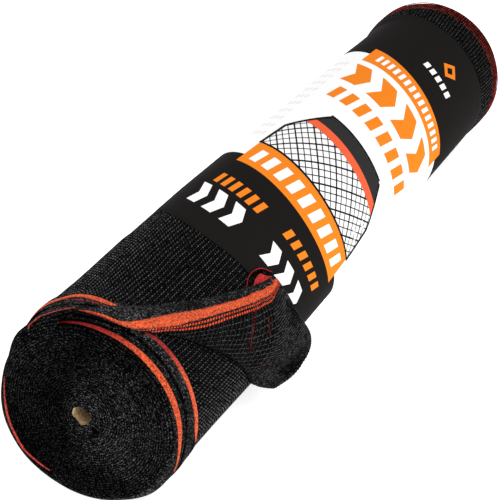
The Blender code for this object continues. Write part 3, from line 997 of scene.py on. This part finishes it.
# The loose end: the corner of the last turn, turned back over the roll and the wrap along a crease.
# Its free edge carries the border and the orange stripe, and its tip stands off and curls. It is both
# plies of the netting, with nothing but its own stiffness to hold it.
LOOSE_END = (
    # crease, lower third, upper third, striped edge: each angle, y_m, height over the roll
    ((97.5, 0.0262, 0.0026), (97.0, 0.0275, 0.0045), (96.4, 0.029, 0.0045), (96.0, 0.031, 0.003)),
    ((88.0, 0.0245, 0.0032), (87.0, 0.03, 0.0065), (86.0, 0.037, 0.007), (85.0, 0.044, 0.0042)),
    ((64.0, 0.029, 0.0038), (66.0, 0.045, 0.0092), (67.0, 0.064, 0.009), (68.0, 0.083, 0.0048)),
    ((36.0, 0.096, 0.0038), (41.0, 0.118, 0.01), (46.0, 0.141, 0.0105), (50.0, 0.162, 0.0062)),
    ((4.2, 0.1755, 0.0038), (12.0, 0.214, 0.013), (25.0, 0.241, 0.0118), (39.6, 0.2299, 0.0055)),
    ((-21.1, 0.2275, 0.0038), (-8.0, 0.278, 0.025), (10.0, 0.304, 0.015), (32.3, 0.2828, 0.0078)),
    ((-17.4, 0.227, 0.024), (-10.0, 0.3255, 0.0415), (8.3, 0.3146, 0.0264), (29.2, 0.32, 0.007)),
)
LOOSE_START = -0.03
LOOSE_END_PLACES = (LOOSE_START, 0.04, 0.25, 0.5, 0.75, 0.9, 1.0)
SECTION_SHARES = (0.0, 0.08, 0.16, 0.24, 0.5, 0.75, 1.0)
SHARE_POWER = 1.35


def smooth_curve(places, values, where):
    """A smooth curve through tuples of numbers at uneven places."""
    last = len(places) - 1
    low = min(last - 1, max(0, sum(1 for place in places if place <= where) - 1))
    span = places[low + 1] - places[low]

    def slope(i):
        before, after = max(0, i - 1), min(last, i + 1)
        reach = places[after] - places[before]
        return [span * (b - a) / reach for a, b in zip(values[before], values[after])]

    rows = zip(values[low], values[low + 1], slope(low), slope(low + 1))
    return [hermite(*row, (where - places[low]) / span) for row in rows]


@functools.lru_cache(maxsize=20000)
def loose_end_section(where):
    """Points over the roll along one section of the loose end, from its lip under the crease."""
    crease, lower, upper, striped = [
        smooth_curve(LOOSE_END_PLACES, [row[column] for row in LOOSE_END], where) for column in range(4)
    ]
    arc_scale = math.radians(1.0) * SIDE[0][1]
    run = math.hypot((lower[0] - crease[0]) * arc_scale, lower[1] - crease[1])
    length = min(0.014, 0.8 * run)
    lip_height = 0.0015 + max(0.0, crease[2] - 0.0062)

    def beside(distance, height):
        return [crease[i] + (lower[i] - crease[i]) * distance / run for i in (0, 1)] + [height]

    return [
        beside(length, lip_height),
        beside(length * 0.35, lip_height + 0.0003),
        crease,
        beside(length * 0.35, min(crease[2] + 0.0025 + 0.01 * smooth_step(0.8, 1.0, where), lower[2])),
        lower,
        upper,
        striped,
    ]


def loose_point(where, share, height):
    """A point of the loose end's middle, or at a height over it away from the roll."""
    angle, y, rise = smooth_curve(SECTION_SHARES, loose_end_section(where), share)
    bulge = smooth_step(0.22, 0.34, share) * fading(0.4, 0.56, share)
    rise += 0.005 * bulge * smooth_step(0.86, 1.0, where)
    point = on_roll(angle, max(y, 0.034), rise + height)
    point.y = y - ROLL_LENGTH / 2.0
    return point


def loose_place(u, v):
    where = round(LOOSE_START + (1.0 - LOOSE_START) * v, 6)
    return loose_point(where, u ** SHARE_POWER, 0.0)


# Shares of the sheet's width, from the lip to the free edge, of the border's and stripe's inner edges
# and of the last of the threads beside the stripe, at places along the sheet
BORDER_END = (
    (-0.03, 0.22), (0.176, 0.22), (0.25, 0.39), (0.3, 0.51), (0.35, 0.62), (0.4, 0.685), (0.45, 0.72),
    (0.5, 0.76), (0.55, 0.805), (0.6, 0.835), (0.65, 0.85), (0.7, 0.875), (0.75, 0.89), (0.8, 0.93),
    (0.85, 0.945), (0.9, 0.955), (0.95, 0.965), (1.0, 0.985),
)
STRIPE_END = (
    (-0.03, 0.11), (0.25, 0.18), (0.3, 0.22), (0.35, 0.29), (0.4, 0.39), (0.45, 0.52), (0.5, 0.6),
    (0.55, 0.665), (0.6, 0.71), (0.65, 0.745), (0.7, 0.78), (0.75, 0.81), (0.8, 0.855), (0.85, 0.88),
    (0.9, 0.912), (0.95, 0.933), (1.0, 0.955),
)
THREAD_END = (
    (-0.03, 0.05), (0.3, 0.12), (0.35, 0.19), (0.4, 0.26), (0.45, 0.34), (0.5, 0.44), (0.55, 0.54),
    (0.6, 0.615), (0.65, 0.66), (0.7, 0.7), (0.75, 0.735), (0.8, 0.79), (0.85, 0.83), (0.9, 0.885),
    (0.95, 0.918), (1.0, 0.94),
)


def band_share(where, band):
    """The share at a band number: 0 the free edge, 1 and 2 the stripe's edges, 3 the last thread."""
    low = min(2, int(band))
    edges = [along_table(table, where) for table in (((0.0, 1.0),), BORDER_END, STRIPE_END, THREAD_END)]
    return edges[low] + (edges[low + 1] - edges[low]) * (band - low)


def loose_finish(polygon):
    """0 the net's second layer, 1 under the stripe, 2 the border, 3 the tip's knit, 4 its copy with painted
    light.
    """
    corners = [loose.data.uv_layers[0].data[corner].uv for corner in polygon.loop_indices]
    share = (sum(corner[0] for corner in corners) / 4.0) ** SHARE_POWER
    where = LOOSE_START + (1.0 - LOOSE_START) * sum(corner[1] for corner in corners) / 4.0
    for band, finish in ((1.0, 2), (2.0, 1), (3.0, 2)):
        if share > band_share(where, band):
            return finish
    if where > 0.86 + 0.1 * abs(share - 0.45):
        # near its lip the tip faces down and takes the brighter copy: painted light from below
        ragged = 0.05 * noise.noise(Vector((where * 60.0, share * 30.0, 1.0)))
        return 4 if share + ragged < 0.36 else 3
    return 0


# As in the other knits, the top stops are painted glints on the black yarn.
TIP_TONES = ((0.0, 0.0015), (0.5, 0.007), (0.85, 0.02), (1.0, 0.06))
tip_knit = knit_material("knit_tip", TIP_TONES, 760.0)
# A copy of the tip's knit 3.2 times brighter: painted light from below on the tip's underside.
tip_painted_light_knit = knit_material("knit_tip_painted_light", TIP_TONES, 760.0, 3.2)
loose_ground = lattice_material("loose_second_layer", 110.0, 64.0, 0.0012, 0.01)
orange_under = woven_material("orange_under", ((0.0, (0.55, 0.06, 0.03)), (1.0, (0.55, 0.06, 0.03))))
loose = make_grid("loose_corner", 72, 80, loose_place, loose_ground, flip=True)
give_finishes(loose, (orange_under, border_knit, tip_knit, tip_painted_light_knit), loose_finish)
lies_on_roll(thickened(loose, 0.0012, 0.0))
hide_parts("loose_end")


# The loose end's stripe and the two orange threads beside it: yarn knitted into its free edge, each
# a ribbed band laid on the sheet.
def loose_band_point(low, high, height):
    """Places a band between two band numbers along the whole loose end."""
    def point(u, across, rise):
        where = LOOSE_START + 0.02 + (0.98 - LOOSE_START) * u
        edge, inner = band_share(where, low), band_share(where, high)
        return loose_point(where, 0.5 * (edge + inner) + across * (edge - inner), height + rise)
    return point


bright_orange = woven_material("orange_loose_end", ((0.0, ORANGE), (1.0, ORANGE)))
thread_yarn = yarn_material(
    "thread_yarn", 90.0, (0.45, 0.04, 0.022), (0.95, 0.13, 0.045), (0.1, 0.05, 0.05),
)
loose_stripe = ribbed_band("loose_stripe", 0.36, loose_band_point(1.0, 2.0, 0.0011), bright_orange, False)
loose_threads = lies_on_roll(joined([
    ribbed_band("loose_threads", 0.36, loose_band_point(low, high, 0.0009), thread_yarn, False)
    for low, high in ((2.24, 2.5), (2.72, 3.02))
]))

# The outer ply's corner stands up behind the tip as a thin curl of the same cloth, with a red edge
# thread, and shows a crescent of its own stripe. The curl's inside takes the knit with painted shade,
# and the crescent is its orange stripe painted dark red for the shade inside the curl.
CURL_TOP = (
    (36.2, 0.252), (39.5, 0.267), (40.2, 0.288), (39.2, 0.301), (37.8, 0.309), (34.8, 0.317),
    (31.5, 0.324),
)
CURL_FOOT = (
    (36.0, 0.251), (34.6, 0.264), (33.8, 0.274), (32.4, 0.285), (31.2, 0.295), (30.2, 0.309),
    (29.2, 0.324),
)
CRESCENT_TOP = (
    (34.6, 0.27), (36.0, 0.278), (36.7, 0.286), (36.6, 0.294), (35.8, 0.3), (33.4, 0.308),
    (30.2, 0.317),
)
CURL_SPOTS = (0.0, 0.167, 0.333, 0.5, 0.667, 0.833, 1.0)


def curl_point(top, u, v, height):
    """A point between the foot of the curl and one of its upper lines."""
    foot = smooth_curve(CURL_SPOTS, CURL_FOOT, u)
    angle, y = [a + (b - a) * v for a, b in zip(foot, smooth_curve(CURL_SPOTS, top, u))]
    return on_roll(angle, y, height)


def curl_place(u, v):
    return curl_point(CURL_TOP, u, v, 0.0032)


def curl_thread_place(u, v):
    return curl_point(CURL_TOP, u, 0.98 + 0.07 * (v - 0.5), ridge(v, 0.0048, 0.0034))


def crescent_place(u, v):
    return curl_point(CRESCENT_TOP, 0.2 + 0.75 * u, v * math.sin(math.pi * min(u, 0.92)) ** 0.5, 0.0042)


# painted shade: the orange stripe inside the curl darkened to red; the edge thread shares it
curl_red = woven_material("curl_red", ((0.0, (0.5, 0.014, 0.012)), (1.0, (0.75, 0.022, 0.016))))
curl = thickened(make_grid("outer_ply_corner", 24, 8, curl_place, painted_shade_knit, flip=True), 0.0006, 0.0)
curl_thread = make_grid("outer_ply_thread", 30, 2, curl_thread_place, curl_red, flip=True)
crescent = make_grid("outer_ply_stripe", 24, 4, crescent_place, curl_red, flip=True)
for thing in (curl, curl_thread, crescent):
    lies_on_roll(thing)

# The loose end's squares: the same flat-knitted cords, pulled askew by the fold. The long ones run
# from the crease to the last thread and the short ones beside the threads.
LONG_CORD_PITCH = 0.0181
SECTION_WIDTH = (
    (0.152, 0.054), (0.256, 0.075), (0.34, 0.082), (0.488, 0.092), (0.576, 0.1), (0.67, 0.112),
    (0.756, 0.13), (0.8, 0.143), (0.85, 0.164), (0.936, 0.202), (1.0, 0.225),
)
loose_yarn_long = yarn_material("loose_yarn_long", 18.0, grey(0.006), grey(0.055), grey(0.25))
loose_yarn_short = yarn_material("loose_yarn_short", 50.0, grey(0.01), grey(0.17), grey(0.1))


def cord_foot(where):
    """The share where the cords of a section begin, lower at the curled tip."""
    return 0.15 - 0.13 * smooth_step(0.84, 0.95, where)


def long_cord(where):
    foot = cord_foot(where)
    reach = band_share(where, 3.0) - foot

    def place(u, v):
        return loose_point(min(1.0, where + (v - 0.5) * 0.0042), foot + reach * u, ridge(v, 0.0014, 0.0003))

    return make_grid("loose_cords", 26, 2, place, loose_yarn_long)


def short_share(where, below):
    """The share at a distance below the last thread."""
    return band_share(where, 3.0) - below / along_table(SECTION_WIDTH, where)


def short_cord(number):
    """A cord a number of half squares below the threads, or nothing where the sheet is too narrow.
    The odd ones are the second layer's, which shows between the first's cords where the tip curls."""
    below = 0.55 * CELL * number
    wheres = [spot / 200.0 for spot in range(166 if number % 2 else 60, 200)]
    wide_enough = [where for where in wheres if short_share(where, below) > cord_foot(where) + 0.01]
    if not wide_enough:
        return []
    first = wide_enough[0]

    def place(u, v):
        where = first + (1.0 - first) * u
        share = max(short_share(where, below + (v - 0.5) * 0.0014), cord_foot(where))
        return loose_point(where, share, ridge(v, 0.0011, 0.0003))

    return [make_grid("loose_cords", max(6, int((1.0 - first) * 110)), 2, place, loose_yarn_short)]


cords = []
for number in range(39):
    where = 0.3 + LONG_CORD_PITCH * number
    if band_share(where, 3.0) > 0.19:
        cords.append(long_cord(where))
for number in range(2, 66):
    cords += short_cord(number)
loose_cords = lies_on_roll(joined(cords))

# Three stray red threads that lie across the loose end's net, knitted in at the stripe and run loose.
red_yarn = yarn_material("red_yarn", 14.0, (0.07, 0.006, 0.006), (0.3, 0.026, 0.018), grey(0.25))


def red_line(spots, width):
    """A red thread through (where, share) spots, thinner towards its end."""
    evenly = [i / (len(spots) - 1.0) for i in range(len(spots))]

    def place(u, v):
        where, share = smooth_curve(evenly, spots, u)
        return loose_point(where + (v - 0.5) * width * (1.0 - 0.6 * u), share, ridge(v, 0.0019, 0.0008))

    return make_grid("loose_red_lines", 20, 2, place, red_yarn)


loose_red_lines = lies_on_roll(joined([
    red_line(((0.733, 0.73), (0.722, 0.6), (0.722, 0.48), (0.745, 0.36)), 0.0056),
    red_line(((0.79, 0.69), (0.792, 0.62), (0.8, 0.56)), 0.003),
    red_line(((0.795, 0.3), (0.83, 0.34), (0.85, 0.38), (0.862, 0.42)), 0.003),
]))
